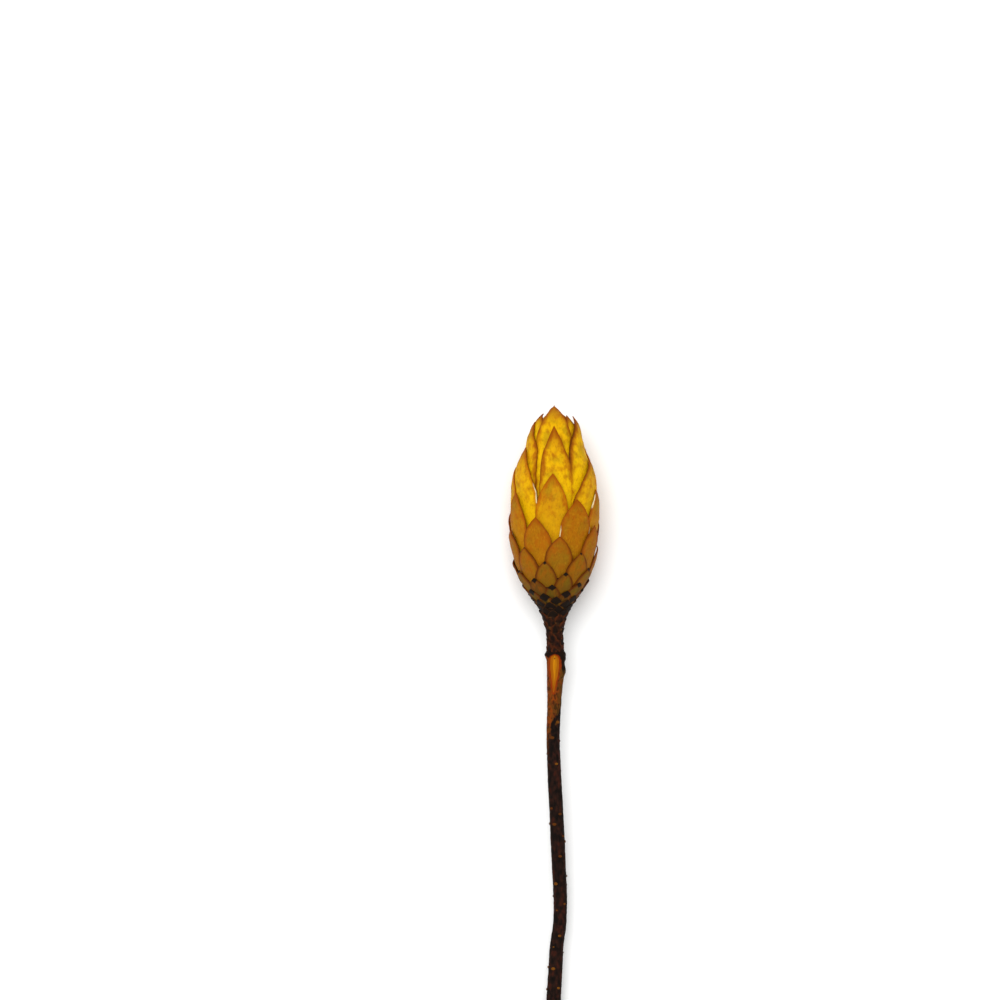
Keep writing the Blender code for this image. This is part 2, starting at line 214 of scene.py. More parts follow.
def along(points, x, column=1):
    """A smooth curve through the points, read at x. It never swings past them."""
    rows = sorted(points)
    xs, ys = [row[0] for row in rows], [row[column] for row in rows]
    if x <= xs[0]:
        return ys[0]
    if x >= xs[-1]:
        return ys[-1]
    slopes = [(ys[i + 1] - ys[i]) / (xs[i + 1] - xs[i]) for i in range(len(xs) - 1)]

    def slope_at(i):
        if i in (0, len(xs) - 1):
            return slopes[min(i, len(slopes) - 1)]
        if slopes[i - 1] * slopes[i] <= 0:
            return 0.0
        return 2 * slopes[i - 1] * slopes[i] / (slopes[i - 1] + slopes[i])

    i = max(j for j in range(len(xs) - 1) if xs[j] <= x)
    step = xs[i + 1] - xs[i]
    s = (x - xs[i]) / step
    return (
        ys[i] * (1 + 2 * s) * (1 - s) ** 2
        + slope_at(i) * step * s * (1 - s) ** 2
        + ys[i + 1] * s * s * (3 - 2 * s)
        + slope_at(i + 1) * step * s * s * (s - 1)
    )


def standing(radius, bearing, height):
    """The point that far from the axis. A bearing is in degrees, from the viewer's side to the right."""
    turn = math.radians(bearing)
    return (radius * math.sin(turn), -radius * math.cos(turn), height)


belly = max(range(100), key=lambda h: along(ENVELOPE, h))
print("the head is widest", belly, "mm up:", round(2 * along(ENVELOPE, belly), 1), "mm across")

# %% [markdown]
# ## Where each bract stands
#
# Bracts grow one after another, each turned by nearly the golden angle, here 137.7 degrees, from the
# last. That makes the crossing spirals that the eye sees. So a bract is known by its number alone: the
# number gives its bearing, and short tables give the height of its tip, its width and the length of its
# point. The young bracts near the top were set one by one a few degrees off the rule, as they are on the
# real flower.

# %% Rule for the bracts
DIVERGENCE = 137.7
BEARING_OF_0 = 6.6
OLDEST, OLDEST_ON_BLOOM, YOUNGEST = -90, -55, 42
# (number, millimetres)
TIP_HEIGHT = (
    (-90, -17.5), (-75, -10.0), (-55, 0.9), (-50, 2.0), (-42, 4.7), (-34, 7.0), (-26, 9.9), (-21, 12.2),
    (-16, 15.6), (-11, 19.7), (-8, 23.0), (-3, 30.0), (0, 35.2), (3, 40.4), (8, 51.6), (13, 63.8),
    (16, 72.0), (18, 78.2), (21, 87.4), (24, 92.8), (29, 94.8), (34, 96.2), (42, 97.0),
)
WIDTH = (
    (-90, 3.6), (-55, 5.4), (-35, 6.8), (-21, 8.2), (-13, 9.6), (-8, 11.4), (0, 13.8), (5, 14.6),
    (9, 15.4), (13, 17.0), (16, 21.5), (18, 22.5), (21, 20.5), (24, 18.5), (27, 16.0), (34, 13.0),
    (42, 9.0),
)
POINT_LENGTH = (
    (-90, 2.2), (-55, 3.0), (-35, 4.0), (-21, 5.4), (-13, 7.0), (-8, 8.2), (0, 11.0), (5, 14.0),
    (13, 18.5), (18, 25.0), (21, 28.0), (24, 24.0), (27, 15.0), (34, 12.0), (42, 10.0),
)
# Below about 1.7 the sides of a point are nearly straight, and at 2 they are a parabola
BLUNTNESS = ((-90, 2.0), (3, 2.05), (16, 1.7), (24, 1.7), (26, 2.2), (29, 1.8), (42, 1.7))
# How steeply the back of a bract runs in, below the place where it touches the outline
LEAN_IN = (
    (-90, 0.15), (-60, 0.2), (-45, 0.25), (-35, 0.23), (-20, 0.17), (-8, 0.13), (5, 0.11), (42, 0.11),
)
CREST = 0.3  # that place, as a share of the point's length, from the tip
TIP_CURL, OLDER_THAN, OLDER_CURL = 0.3, 3, 0.65  # how far each tip curls in, and the older ones further
# The youngest tips stand up straight, these many millimetres further out than the dome of the head
FLARE = {
    23: 0.2, 24: 1.4, 25: 1.2, 26: 0.4, 27: 1.4, 28: 1.2, 29: 0.8, 30: 1.2, 31: 0.7, 32: 0.4,
    33: 1.0, 34: 0.6,
}
YOUNG_FROM, YOUNG_DEPTH = 20, 0.22  # from that number on, each bract lies this much deeper than the last
CUP = 0.3  # how far the margins of a large bract lie under its middle
FULL_WIDTH = 14.0  # narrower bracts have less of a cup, and stray less from the rule
BRACT_WALL, SCALE_WALL = 0.5, 0.35
NECK_FOOT, NECK_BEND = -19.4, 0.57  # where the neck ends, and how far to the right its axis lies there
LOWEST_ROOT = NECK_FOOT + 0.1
# Bracts off the spiral: (degrees round, millimetres up, millimetres out, degrees round of the root)
OFF_SPIRAL = {
    -10: (-9, 0.0, 0.0, 0), 8: (0, 0.8, 0.0, 0), 10: (-6, 0.0, 0.0, 0), 11: (-12, -0.6, 0.0, 0),
    13: (-1, 1.0, 0.0, 0), 15: (0, 0.6, 0.0, 0), 16: (27, 1.6, 0.2, -28), 18: (-33, 0.5, 0.0, 17),
    21: (-21, 1.4, 0.0, 8), 23: (-6, -0.5, 0.0, 8), 24: (0, 1.0, 1.4, -31), 26: (13, 6.0, 1.0, 0),
    28: (0, 1.4, 0.6, 0), 29: (13, -0.2, 1.0, 0), 30: (0, 3.6, 1.4, 0), 31: (-14, -0.6, 1.0, 0),
    32: (0, 1.0, 0.2, 0),
}
# Bracts with pale hairs and wax at a margin that carry a painted highlight, and how far down the point
MARGIN_GLINT = {8: 1.05, 11: 0.3, 12: 0.8, 14: 0.9, 18: 0.94, 20: 0.85}
# Bracts with broad dark margins, and how dark: partly real browning, partly painted shade where a neighbour
# lies over them
BROWNED_AND_SHADED = {
    -3: 0.3, 0: 0.5, 16: 0.4, 20: 0.5, 21: 0.45, 23: 0.4, 24: 1.0, 26: 0.35, 27: 0.7, 28: 0.8, 29: 0.9,
    31: 0.9,
}
NO_MARGIN_GLINT = -9.0  # so far above the tip that nothing is
# Points of another length, and bracts so many times wider, than the tables say
OWN_POINT = {26: 25.0, 29: 16.0}
OWN_WIDTH = {
    5: 1.04, 8: 1.14, 13: 0.95, 16: 1.14, 18: 1.05, 21: 0.85, 23: 1.2, 24: 1.1, 26: 1.24, 28: 1.2, 29: 1.15,
    30: 1.2, 31: 1.25,
}
# A root is sought from so many points under the tip, down in steps, until it is so deep in the core
ROOT_FROM, ROOT_STEP, ROOT_SINK = 1.2, 0.25, 0.3
SPIRAL_SEED = 7
STRAY_ROUND, STRAY_LEAN, STRAY_UP, STRAY_WIDTH = 1.5, 3.0, 0.5, 0.04  # the most that chance adds or takes


def sunk(facts, below_tip):
    """How deep the bract's back lies under the outline of the head, that far below its tip."""
    crest = CREST * facts["point"]
    curl = facts["curl"] * max(1 - below_tip / crest, 0.0) ** 2
    return facts["lean_in"] * max(below_tip - crest, 0.0) + curl - facts["out"]


def bract_facts(number):
    """All that the tree and the finish need to know of one bract."""
    chance = random.Random(SPIRAL_SEED * 1000 + number)
    turn, up, out, lean = OFF_SPIRAL.get(number, (0.0, 0.0, 0.0, 0.0))
    size = min(1.0, along(WIDTH, number) / FULL_WIDTH)
    facts = {
        "bearing": BEARING_OF_0 + number * DIVERGENCE + turn + chance.uniform(-STRAY_ROUND, STRAY_ROUND),
        "lean": lean + chance.uniform(-STRAY_LEAN, STRAY_LEAN) * size,
        "tip": along(TIP_HEIGHT, number) + up + chance.uniform(-STRAY_UP, STRAY_UP) * size,
        "width": along(WIDTH, number)
        * chance.uniform(1 - STRAY_WIDTH, 1 + STRAY_WIDTH)
        * OWN_WIDTH.get(number, 1.0),
        "point": OWN_POINT.get(number, along(POINT_LENGTH, number)),
        "blunt": along(BLUNTNESS, number),
        "lean_in": along(LEAN_IN, number),
        "out": out - YOUNG_DEPTH * max(number - YOUNG_FROM, 0),
        "cup": CUP * size,
        "curl": TIP_CURL + OLDER_CURL * (number < OLDER_THAN) - FLARE.get(number, 0.0),
        "age": (number - OLDEST) / (YOUNGEST - OLDEST),
        "tint": chance.random(),
        "bleach": MARGIN_GLINT.get(number, NO_MARGIN_GLINT),
        "browned": BROWNED_AND_SHADED.get(number, 0.0),
    }
    root = facts["tip"] - ROOT_FROM * facts["point"]
    while sunk(facts, facts["tip"] - root) < along(CORE_DEPTH, root) + ROOT_SINK + BRACT_WALL:
        root -= ROOT_STEP
    facts["length"] = facts["tip"] - max(root, LOWEST_ROOT)
    facts["bearing"] = math.radians(facts["bearing"] % 360.0)
    facts["lean"] = math.radians(facts["lean"])
    return facts


all_facts = {number: bract_facts(number) for number in range(OLDEST, YOUNGEST + 1)}
print(len(all_facts), "bracts, the longest", round(max(f["length"] for f in all_facts.values()), 1), "mm")

# %% [markdown]
# ## A tree that grows bracts
#
# All the bracts are one shape seen at many sizes, so Geometry Nodes can grow them. The input is a cloud
# of points, one for each bract, that carries the facts above as attributes. The tree puts a flat grid on
# each point, and bends the grid to its place by the same rule as the solid model: across the grid goes
# round the head, and along the grid goes from the tip down to the root. What the finish needs later, such
# as the distance from the margin, is stored on the way.

# %% Parts that every tree has
TOUCH = 0.00001  # the lowest that any point may lie, in metres
SAME_SPOT = 0.000002  # points nearer to each other than this are one


def fresh_tree(name, sizes):
    """A new tree with an input for each size, the helper that adds to it, and its inputs."""
    tree = bpy.data.node_groups.new(name, "GeometryNodeTree")
    tree.is_modifier = True
    tree.interface.new_socket("Geometry", in_out="OUTPUT", socket_type="NodeSocketGeometry")
    tree.interface.new_socket("Geometry", in_out="INPUT", socket_type="NodeSocketGeometry")
    for size, value in sizes.items():
        kind = {int: "NodeSocketInt", float: "NodeSocketFloat"}.get(type(value), "NodeSocketMaterial")
        tree.interface.new_socket(size, in_out="INPUT", socket_type=kind)
    return tree, partial(add, tree), tree.nodes.new("NodeGroupInput").outputs


def shape_curve(curve, dots):
    """Gives a Float Curve node its points, from 0 to 1 both ways."""
    points = curve.mapping.curves[0].points
    while len(points) < len(dots):
        points.new(0.5, 0.5)
    for point, dot in zip(points, dots):
        point.location, point.handle_type = dot, "AUTO_CLAMPED"
    curve.mapping.update()


def finish_tree(tree, shape, finish):
    """The end of a tree: lays the shape down, flattens what would sink into the table, sets the finish."""
    moves = {"Translation": laid.to_translation(), "Rotation": laid.to_euler(), "Scale": (MM, MM, MM)}
    shape = add(tree, "GeometryNodeTransform", {"Geometry": shape, **moves})
    spot = add(tree, POSITION)
    # -9 is far below anything, so only the height has a floor
    resting = add(tree, VECTOR, (spot, (-9.0, -9.0, TOUCH)), "MAXIMUM")
    shape = add(tree, MOVE, {"Geometry": shape, "Position": resting})
    shape = add(tree, "GeometryNodeMergeByDistance", {"Geometry": shape, "Distance": SAME_SPOT})
    shape = add(tree, "GeometryNodeSetMaterial", {"Geometry": shape, "Material": finish})
    add(tree, "NodeGroupOutput", {"Geometry": shape})


# %% Tree for the bracts
EASING = 1.35  # above 1, the rows of the grid crowd towards the tip
SHANK_TAPER = 0.12  # how much narrower a bract is at its root
CURVE_TOP = 25.0  # the radius that 1 stands for on the curve of the outline
OWN_NOISE, OTHER_SIDE = 90.0, 31.0  # steps that take each bract, and its right margin, to noise of its own
WAVER_SCALE, RUFFLE_SCALE = 0.12, 0.16  # waves in a millimetre
CUP_BELOW = 4.0  # from the tip to here the cup grows
LEAST_RADIUS, LEAST_GIRTH = 0.2, 3.0  # the innermost bracts stay this far out, and bend no tighter


def bract_tree():
    """The tree that grows a bract on each point."""
    sizes = {"Columns": 1, "Rows": 1, "Ruffle": 1.0, "Waver": 1.0, "Finish": None}
    tree, put, given = fresh_tree("grow_bracts", sizes)
    facts = {name: put(STORED, {"Name": name}) for name in all_facts[0]}
    point = facts["point"]
    flat = {"Size X": 2.0, "Vertices X": given["Columns"], "Vertices Y": given["Rows"]}
    grid = put("GeometryNodeMeshGrid", flat)
    dots = {"Points": given["Geometry"], "Instance": grid.outputs["Mesh"]}
    placed = put("GeometryNodeInstanceOnPoints", dots)
    shape = put("GeometryNodeRealizeInstances", {"Geometry": placed})
    parts = put(SPLIT, (put(POSITION),))
    across = parts.outputs["X"]
    share = put(MATH, (0.5, parts.outputs["Y"]), "SUBTRACT")
    eased = put(MATH, (share, EASING), "POWER")
    below = put(MATH, (eased, facts["length"]), "MULTIPLY")
    height = put(MATH, (facts["tip"], below), "SUBTRACT")
    pointed = put(MATH, (below, point), "DIVIDE", use_clamp=True)
    left = put(MATH, (1.0, pointed), "SUBTRACT")
    drawn_in = put(MATH, (left, facts["blunt"]), "POWER")
    ogive = put(MATH, (1.0, drawn_in), "SUBTRACT")
    part = put(MATH, (below, point), "DIVIDE")
    past = put(MATH, (below, point), "SUBTRACT")
    shank = put(MATH, (facts["length"], point), "SUBTRACT")
    down_shank = put(MATH, (past, shank), "DIVIDE", use_clamp=True)
    squared = put(MATH, (down_shank, 2.0), "POWER")
    narrowed = put(MATH, (squared, -SHANK_TAPER, 1.0), "MULTIPLY_ADD")
    outline = put(MATH, (ogive, narrowed), "MULTIPLY")
    full = put(MATH, (outline, facts["width"]), "MULTIPLY")
    # Each margin wavers a little by its own noise, in waves about 8 mm long
    own = put(MATH, (facts["tint"], OWN_NOISE), "MULTIPLY")
    right = put(MATH, (across, 0.0), "GREATER_THAN")
    right = put(MATH, (right, OTHER_SIDE), "MULTIPLY")
    down_margin = put(MATH, (below, WAVER_SCALE), "MULTIPLY")
    margin_spot = put(JOIN, (own, down_margin, right))
    waver = put(NOISE, {"Vector": margin_spot, "Scale": 1.0, "Detail": 2.0})
    waver = put(MATH, (waver, 0.5), "SUBTRACT")
    waver = put(MATH, (waver, given["Waver"], 1.0), "MULTIPLY_ADD")
    full = put(MATH, (full, waver), "MULTIPLY")
    half = put(MATH, (full, 0.5), "MULTIPLY")

    low, high = ENVELOPE[0][0], ENVELOPE[-1][0]
    up = put(RANGE, (height, low, high))
    curve = put("ShaderNodeFloatCurve", {"Value": up})
    shape_curve(curve, [((at - low) / (high - low), radius / CURVE_TOP) for at, radius in ENVELOPE])
    reach = put(MATH, (curve, CURVE_TOP), "MULTIPLY")

    crest = put(MATH, (point, CREST), "MULTIPLY")
    under = put(MATH, (below, crest), "SUBTRACT")
    under = put(MATH, (under, 0.0), "MAXIMUM")
    leaning = put(MATH, (under, facts["lean_in"]), "MULTIPLY")
    near_tip = put(MATH, (below, crest), "DIVIDE", use_clamp=True)
    near_tip = put(MATH, (1.0, near_tip), "SUBTRACT")
    near_tip = put(MATH, (near_tip, 2.0), "POWER")
    curled = put(MATH, (near_tip, facts["curl"], leaning), "MULTIPLY_ADD")
    depth = put(MATH, (curled, facts["out"]), "SUBTRACT")
    middle = put(MATH, (reach, depth), "SUBTRACT")
    middle = put(MATH, (middle, LEAST_RADIUS), "MAXIMUM")

    sideways = put(MATH, (across, half), "MULTIPLY")
    girth = put(MATH, (middle, LEAST_GIRTH), "MAXIMUM")
    turned = put(MATH, (sideways, girth), "DIVIDE")
    leant = put(MATH, (eased, facts["lean"], turned), "MULTIPLY_ADD")
    bearing = put(MATH, (leant, facts["bearing"]), "ADD")

    rim = put(MATH, (across, across), "MULTIPLY")
    cupped = put(MATH, (rim, facts["cup"]), "MULTIPLY")
    whole = put(MATH, (below, 1 / CUP_BELOW), "MULTIPLY", use_clamp=True)
    cupped = put(MATH, (cupped, whole), "MULTIPLY")
    radius = put(MATH, (middle, cupped), "SUBTRACT")

    east = put(MATH, (bearing,), "SINE")
    south = put(MATH, (bearing,), "COSINE")
    x = put(MATH, (radius, east), "MULTIPLY")
    y = put(MATH, (radius, south), "MULTIPLY")
    y = put(MATH, (y, -1.0), "MULTIPLY")
    # The neck bends a little sideways, to meet the stem
    down = put(MATH, (height, NECK_FOOT), "DIVIDE", use_clamp=True)
    bend = put(MATH, (down, down), "MULTIPLY")
    x = put(MATH, (bend, NECK_BEND, x), "MULTIPLY_ADD")
    spot = put(JOIN, (x, y, height))

    flat = put(MATH, (across,), "ABSOLUTE")
    inside = put(MATH, (1.0, flat), "SUBTRACT")
    margin = put(MATH, (inside, half), "MULTIPLY")
    for name, value in (("margin", margin), ("below", below), ("share", part)):
        shape = put(STORE, {"Geometry": shape, "Name": name, "Value": value})
    on_bract = put(JOIN, (sideways, below, own))
    place = {"Geometry": shape, "Name": "place", "Value": on_bract}
    shape = put(STORE, place, data_type=XYZ)
    shape = put(MOVE, {"Geometry": shape, "Position": spot})

    # A ruffle of a few tenths of a millimetre, in waves about 6 mm long, as leathery bracts dry
    ruffle = put(NOISE, {"Scale": RUFFLE_SCALE, "Detail": 1.0})
    swing = put(MATH, (ruffle, 0.5), "SUBTRACT")
    swing = put(MATH, (swing, given["Ruffle"]), "MULTIPLY")
    normal = put("GeometryNodeInputNormal")
    push = put(VECTOR, {0: normal, "Scale": swing}, "SCALE")
    shape = put(MOVE, {"Geometry": shape, "Offset": push})

    finish_tree(tree, shape, given["Finish"])
    return tree


grow_bracts = bract_tree()
print("the tree for the bracts has", len(grow_bracts.nodes), "nodes")

# %% [markdown]
# ## Running a tree
#
# A tree works as a modifier, which knows its inputs by identifiers and not by names, so a helper looks
# each one up. It then takes the result as a plain mesh.

# %% Helper that runs a tree
SMOOTH_ANGLE = math.radians(50)  # edges sharper than this stay edges


def run_tree(name, source, tree, settings, thickness=0.0):
    """Runs the tree on the source, gives the result a wall inwards if asked, and returns a plain object."""
    modifier = source.modifiers.new("shape", "NODES")
    modifier.node_group = tree
    for item in tree.interface.items_tree:
        if item.in_out == "INPUT" and item.name in settings:
            modifier[item.identifier] = settings[item.name]
    if thickness:
        wall = source.modifiers.new("wall", "SOLIDIFY")
        wall.thickness, wall.offset = thickness, -1.0
        wall.use_even_offset = False
        wall.use_quality_normals = True
    graph = bpy.context.evaluated_depsgraph_get()
    mesh = bpy.data.meshes.new_from_object(source.evaluated_get(graph))
    mesh.name = name
    bpy.data.objects.remove(source, do_unlink=True)
    mesh.shade_smooth()
    mesh.set_sharp_from_angle(angle=SMOOTH_ANGLE)
    mesh.calc_loop_triangles()
    print(name, "has", len(mesh.loop_triangles), "triangles")
    return new_object(name, mesh)


def bract_points(name, numbers):
    """One point for each bract, with its facts as attributes."""
    cloud = mesh_object(name, [(0.0, 0.0, 0.0)] * len(numbers), [])
    for fact in all_facts[numbers[0]]:
        store(cloud, fact, [all_facts[number][fact] for number in numbers])
    return cloud


# %% [markdown]
# ## A finish written as tables
#
# Every surface here is a ground colour with coats of other colours over it, each coat laid only where
# some amount says so: near a margin, near a tip, in blotches. One recipe serves them all. It reads facts
# stored on the surface and noise in real sizes, turns weighted sums of them into amounts from 0 to 1, and
# lays the coats one after another.
#
# The patterns follow the attribute called place, which holds millimetres across and along the piece
# itself. So they run along each bract and along the stem, as growth made them.

# %% One recipe for every finish
def weighed(tree, amounts, source):
    """The sum of the named amounts, each times its weight."""
    total = 0.0
    for part, weight in source.items():
        total = add(tree, MATH, (amounts[part], weight, total), "MULTIPLY_ADD")
    return total


BLOTCH = 0.6  # one wave of noise is about this share of a blotch


def layered_finish(name, gloss, facts, clouds, runs, ground, coats, relief):
    """Builds a finish.

    Gloss is (roughness, specular level). A run is (sum, start, end), and its amount goes from 0 to 1 unless
    two more numbers follow. Ground is (sum, stops), a coat (colour, strength, amounts) and relief (sum,
    strength, height in millimetres).
    """
    made = bpy.data.materials.new(name)
    made.use_nodes = True
    tree = made.node_tree
    put = partial(add, tree)
    place = put("ShaderNodeAttribute", attribute_name="place").outputs["Vector"]
    amounts = {fact: put("ShaderNodeAttribute", attribute_name=fact).outputs["Fac"] for fact in facts}
    for cloud, sizes_mm in clouds.items():
        scaled = put("ShaderNodeMapping", {"Vector": place, "Scale": [BLOTCH / mm for mm in sizes_mm]})
        amounts[cloud] = put(NOISE, {"Vector": scaled, "Scale": 1.0, "Detail": 2.5}).outputs["Fac"]
    for run, (source, start, end, *levels) in runs.items():
        ends = (weighed(tree, amounts, source), start, end, *levels)
        amounts[run] = put(RANGE, ends, interpolation_type="SMOOTHSTEP")
    source, stops = ground
    ramp = put("ShaderNodeValToRGB", {"Fac": weighed(tree, amounts, source)})
    while len(ramp.color_ramp.elements) < len(stops):
        ramp.color_ramp.elements.new(0.5)
    for element, (at, code) in zip(ramp.color_ramp.elements, stops):
        element.position, element.color = at, colour(code)
    base = ramp
    for code, strength, *names in coats:
        thick = strength
        for part in names:
            thick = put(MATH, (amounts[part], thick), "MULTIPLY")
        base = put(MIX, {"Factor": thick, 6: base, 7: colour(code)}, data_type="RGBA").outputs[2]
    source, strength, height_mm = relief
    bumps = {"Height": weighed(tree, amounts, source), "Strength": strength, "Distance": height_mm * MM}
    look = {"Base Color": base, "Normal": put("ShaderNodeBump", bumps)}
    look["Roughness"], look["Specular IOR Level"] = gloss
    fill(tree.nodes["Principled BSDF"], look)
    print(name, "has", len(tree.nodes), "nodes")
    return made


# %% [markdown]
# ## Finish of the bracts: dry, leathery, waxed
#
# A dried bract is thick, leathery and a little waxy. It is bright yellow where its neighbours hid it,
# mottled olive and rust where it saw the sun, and it browns first at the margin and the tip. The oldest
# bracts, at the foot, are small and brown, and their tips are black. Along the margins the finish also
# paints the shade that one bract casts on the next, and on a few margins a pale highlight on hairs and
# wax. Low gloss and wide soft margins give the eye leather; ridges half a millimetre apart and a fine
# grain give it a grown thing and not a painted one.

# %% Bract finish
bract_clouds = {
    "wide": (7.0, 9.0, 7.0), "blotch": (3.0, 4.5, 3.0), "fleck": (1.3, 2.0, 1.3),
    "grain": (0.4, 0.8, 0.4), "ridge": (0.5, 9.0, 2.0),
}
bract_runs = {
    "sunlit": ({"share": 1.0}, 0.5, 1.4, 1.0, 0.4),
    "hidden": ({"share": 1.0, "wide": 0.8}, 0.75, 1.7),
    "fresh": ({"age": 1.0}, 0.74, 0.86),
    "young": ({"age": 1.0}, 0.58, 0.74),
    "aged": ({"age": 1.0}, 0.62, 0.8, 1.0, 0.0),
    "oldest": ({"age": 1.0}, 0.42, 0.48, 1.0, 0.0),
    "edge": ({"margin": 1.0, "fleck": -2.4}, -1.4, 1.7, 1.0, 0.0),
    # A thin dark line along every margin: partly the dark margin itself, partly painted shade where a bract
    # lies over the next
    "line": ({"margin": 1.0, "fleck": -0.4}, -0.2, 0.25, 1.0, 0.0),
    "rind": ({"margin": 1.0, "fleck": -1.4}, -0.8, 0.9, 1.0, 0.0),
    # A broad band along the margin, for the dark margins that are partly painted shade
    "stain": ({"margin": 1.0, "fleck": -2.4}, -1.0, 2.6, 1.0, 0.0),
    "tip": ({"share": 1.0, "fleck": 0.3}, 0.12, 0.6, 1.0, 0.0),
    "spry": ({"age": 1.0}, 0.5, 0.68, 0.25, 1.0),
    "olive": ({"blotch": 1.0, "fleck": 0.3}, 0.6, 0.82),
    "rust": ({"blotch": -0.6, "fleck": 1.0}, 0.08, 0.5),
    "black": ({"below": 1.0, "margin": -0.45, "age": 9.0, "fleck": 0.9}, 6.55, 6.95, 1.0, 0.0),
    "freckle": ({"grain": 1.0, "fleck": 1.0}, 1.04, 1.28),
    "broken": ({"fleck": 1.0, "blotch": 0.6}, 0.6, 0.95),
    # These three mark the pale margin streak: pale hairs and wax with a painted highlight on them
    "past_top": ({"share": 1.0, "bleach": -1.0, "fleck": 0.4}, -0.05, 0.15),
    "above_foot": ({"share": 1.0, "bleach": -1.0, "fleck": 0.4}, 0.3, 0.5, 1.0, 0.0),
    "at_margin": ({"margin": 1.0, "fleck": 1.6}, 0.85, 1.5, 1.0, 0.0),
    "pale": ({"grain": 1.0}, 0.52, 0.75),
    "deep": ({"grain": -1.0}, -0.48, -0.25),
}
bract_facts_read = ("age", "tint", "bleach", "browned", "margin", "below", "share")
golden_bract = layered_finish(
    "golden_leathery_bract",
    (0.66, 0.05),
    bract_facts_read,
    bract_clouds,
    bract_runs,
    (
        {"age": 1.0, "tint": 0.03},
        (
            (0.29, "#170e08"), (0.38, "#1f150a"), (0.48, "#38270b"), (0.57, "#583b0b"), (0.65, "#7e560a"),
            (0.71, "#955d07"), (0.76, "#a26504"), (0.81, "#d29a03"), (0.87, "#d8a202"), (0.97, "#e0b002"),
        ),
    ),
    (
        ("#e3b400", 0.75, "hidden", "fresh"),
        ("#75600a", 0.4, "olive", "sunlit"),
        ("#a64c02", 0.55, "rust", "sunlit", "spry"),
        ("#864a03", 0.32, "freckle"),
        ("#ffd428", 0.1, "pale", "young"),
        ("#341702", 0.25, "deep"),
        ("#a44e00", 0.8, "edge", "young"),
        ("#6e3a06", 0.6, "edge", "aged"),
        # Broad dark margins on the listed bracts: real browning with painted shade where bracts overlap
        ("#8c4804", 0.75, "stain", "browned"),
        ("#4e2004", 0.85, "rind", "aged"),
        # The rim of the same bracts darkened further: browning with painted shade
        ("#5a2c02", 0.9, "rind", "browned"),
        # Thin dark margin line, partly painted shade of the overlapping bract
        ("#642c03", 0.45, "line"),
        ("#8c4400", 0.8, "tip", "young"),
        # Pale streak on some margins: pale hairs and wax, with a painted highlight
        ("#eee0b0", 0.85, "past_top", "above_foot", "at_margin"),
        ("#150e0a", 0.97, "black"),
        # The same dark margin line, darker on the oldest scales: partly painted shade
        ("#523010", 0.7, "line", "oldest", "broken"),
    ),
    ({"ridge": 0.8, "grain": 0.6}, 0.45, 0.25),
)
dark_scale = layered_finish(
    "dry_dark_scale",
    (0.75, 0.05),
    bract_facts_read,
    bract_clouds,
    bract_runs,
    ({"age": 1.0, "tint": 0.05}, ((0.0, "#1a0f0b"), (0.14, "#150d0a"), (0.3, "#1c110a"))),
    (
        ("#52230e", 0.55, "rust"),
        ("#55280e", 0.7, "rind", "broken"),
        ("#0e0907", 0.5, "deep"),
    ),
    ({"ridge": 0.8, "grain": 0.6}, 0.5, 0.25),
)

# %% [markdown]
# ## The bloom and the neck
#
# The tree runs twice: for the golden bracts of the head, with a fine grid, and for the small dark scales
# of the neck, with a coarse one. A solidify modifier gives each blade its wall, inwards, so that its back
# stays on the outline.

# %% Grow the bloom and the neck
bloom = run_tree(
    "golden_bracts",
    bract_points("bloom_points", range(OLDEST_ON_BLOOM, YOUNGEST + 1)),
    grow_bracts,
    {"Columns": 13, "Rows": 22, "Ruffle": 1.2, "Waver": 0.25, "Finish": golden_bract},
    BRACT_WALL * MM,
)
neck = run_tree(
    "neck_scales",
    bract_points("neck_points", range(OLDEST, OLDEST_ON_BLOOM)),
    grow_bracts,
    {"Columns": 7, "Rows": 9, "Ruffle": 0.2, "Waver": 0.1, "Finish": dark_scale},
    SCALE_WALL * MM,
)

# %% [markdown]
# ## The core
#
# Between the bracts the eye looks into dark gaps. What it sees at their end is the receptacle, the woody
# core that carries them. A ring of points at each height, a set depth under the outline, gives its
# surface, and flat lids close it. It is rough and dark, so its finish needs only two browns in small
# patches.

# %% Core of the head and neck
def core_object(name, low, high, step, finish, sides=48):
    """A closed tube, as deep as the core lies, between two heights, with its rings a step apart."""
    count = round((high - low) / step)
    points, places = [], []
    for i in range(count + 1):
        height = low + (high - low) * i / count
        radius = along(ENVELOPE, height) - along(CORE_DEPTH, height)
        bend = NECK_BEND * min(max(height / NECK_FOOT, 0.0), 1.0) ** 2
        for j in range(sides):
            x, y, z = standing(radius, 360.0 * j / sides, height)
            places.append((x, y, z))
            points.append(lay_down((x + bend, y, z)))
    faces = [tuple(reversed(range(sides))), tuple(count * sides + j for j in range(sides))]
    for i in range(count):
        for j in range(sides):
            k = (j + 1) % sides
            faces.append((i * sides + j, i * sides + k, (i + 1) * sides + k, (i + 1) * sides + j))
    made = mesh_object(name, points, faces)
    store(made, "place", [c for place in places for c in place], XYZ)
    made.data.materials.append(finish)
    made.data.shade_smooth()
    made.data.set_sharp_from_angle(angle=SMOOTH_ANGLE)
    print(name, "has", len(made.data.polygons), "faces")
    return made


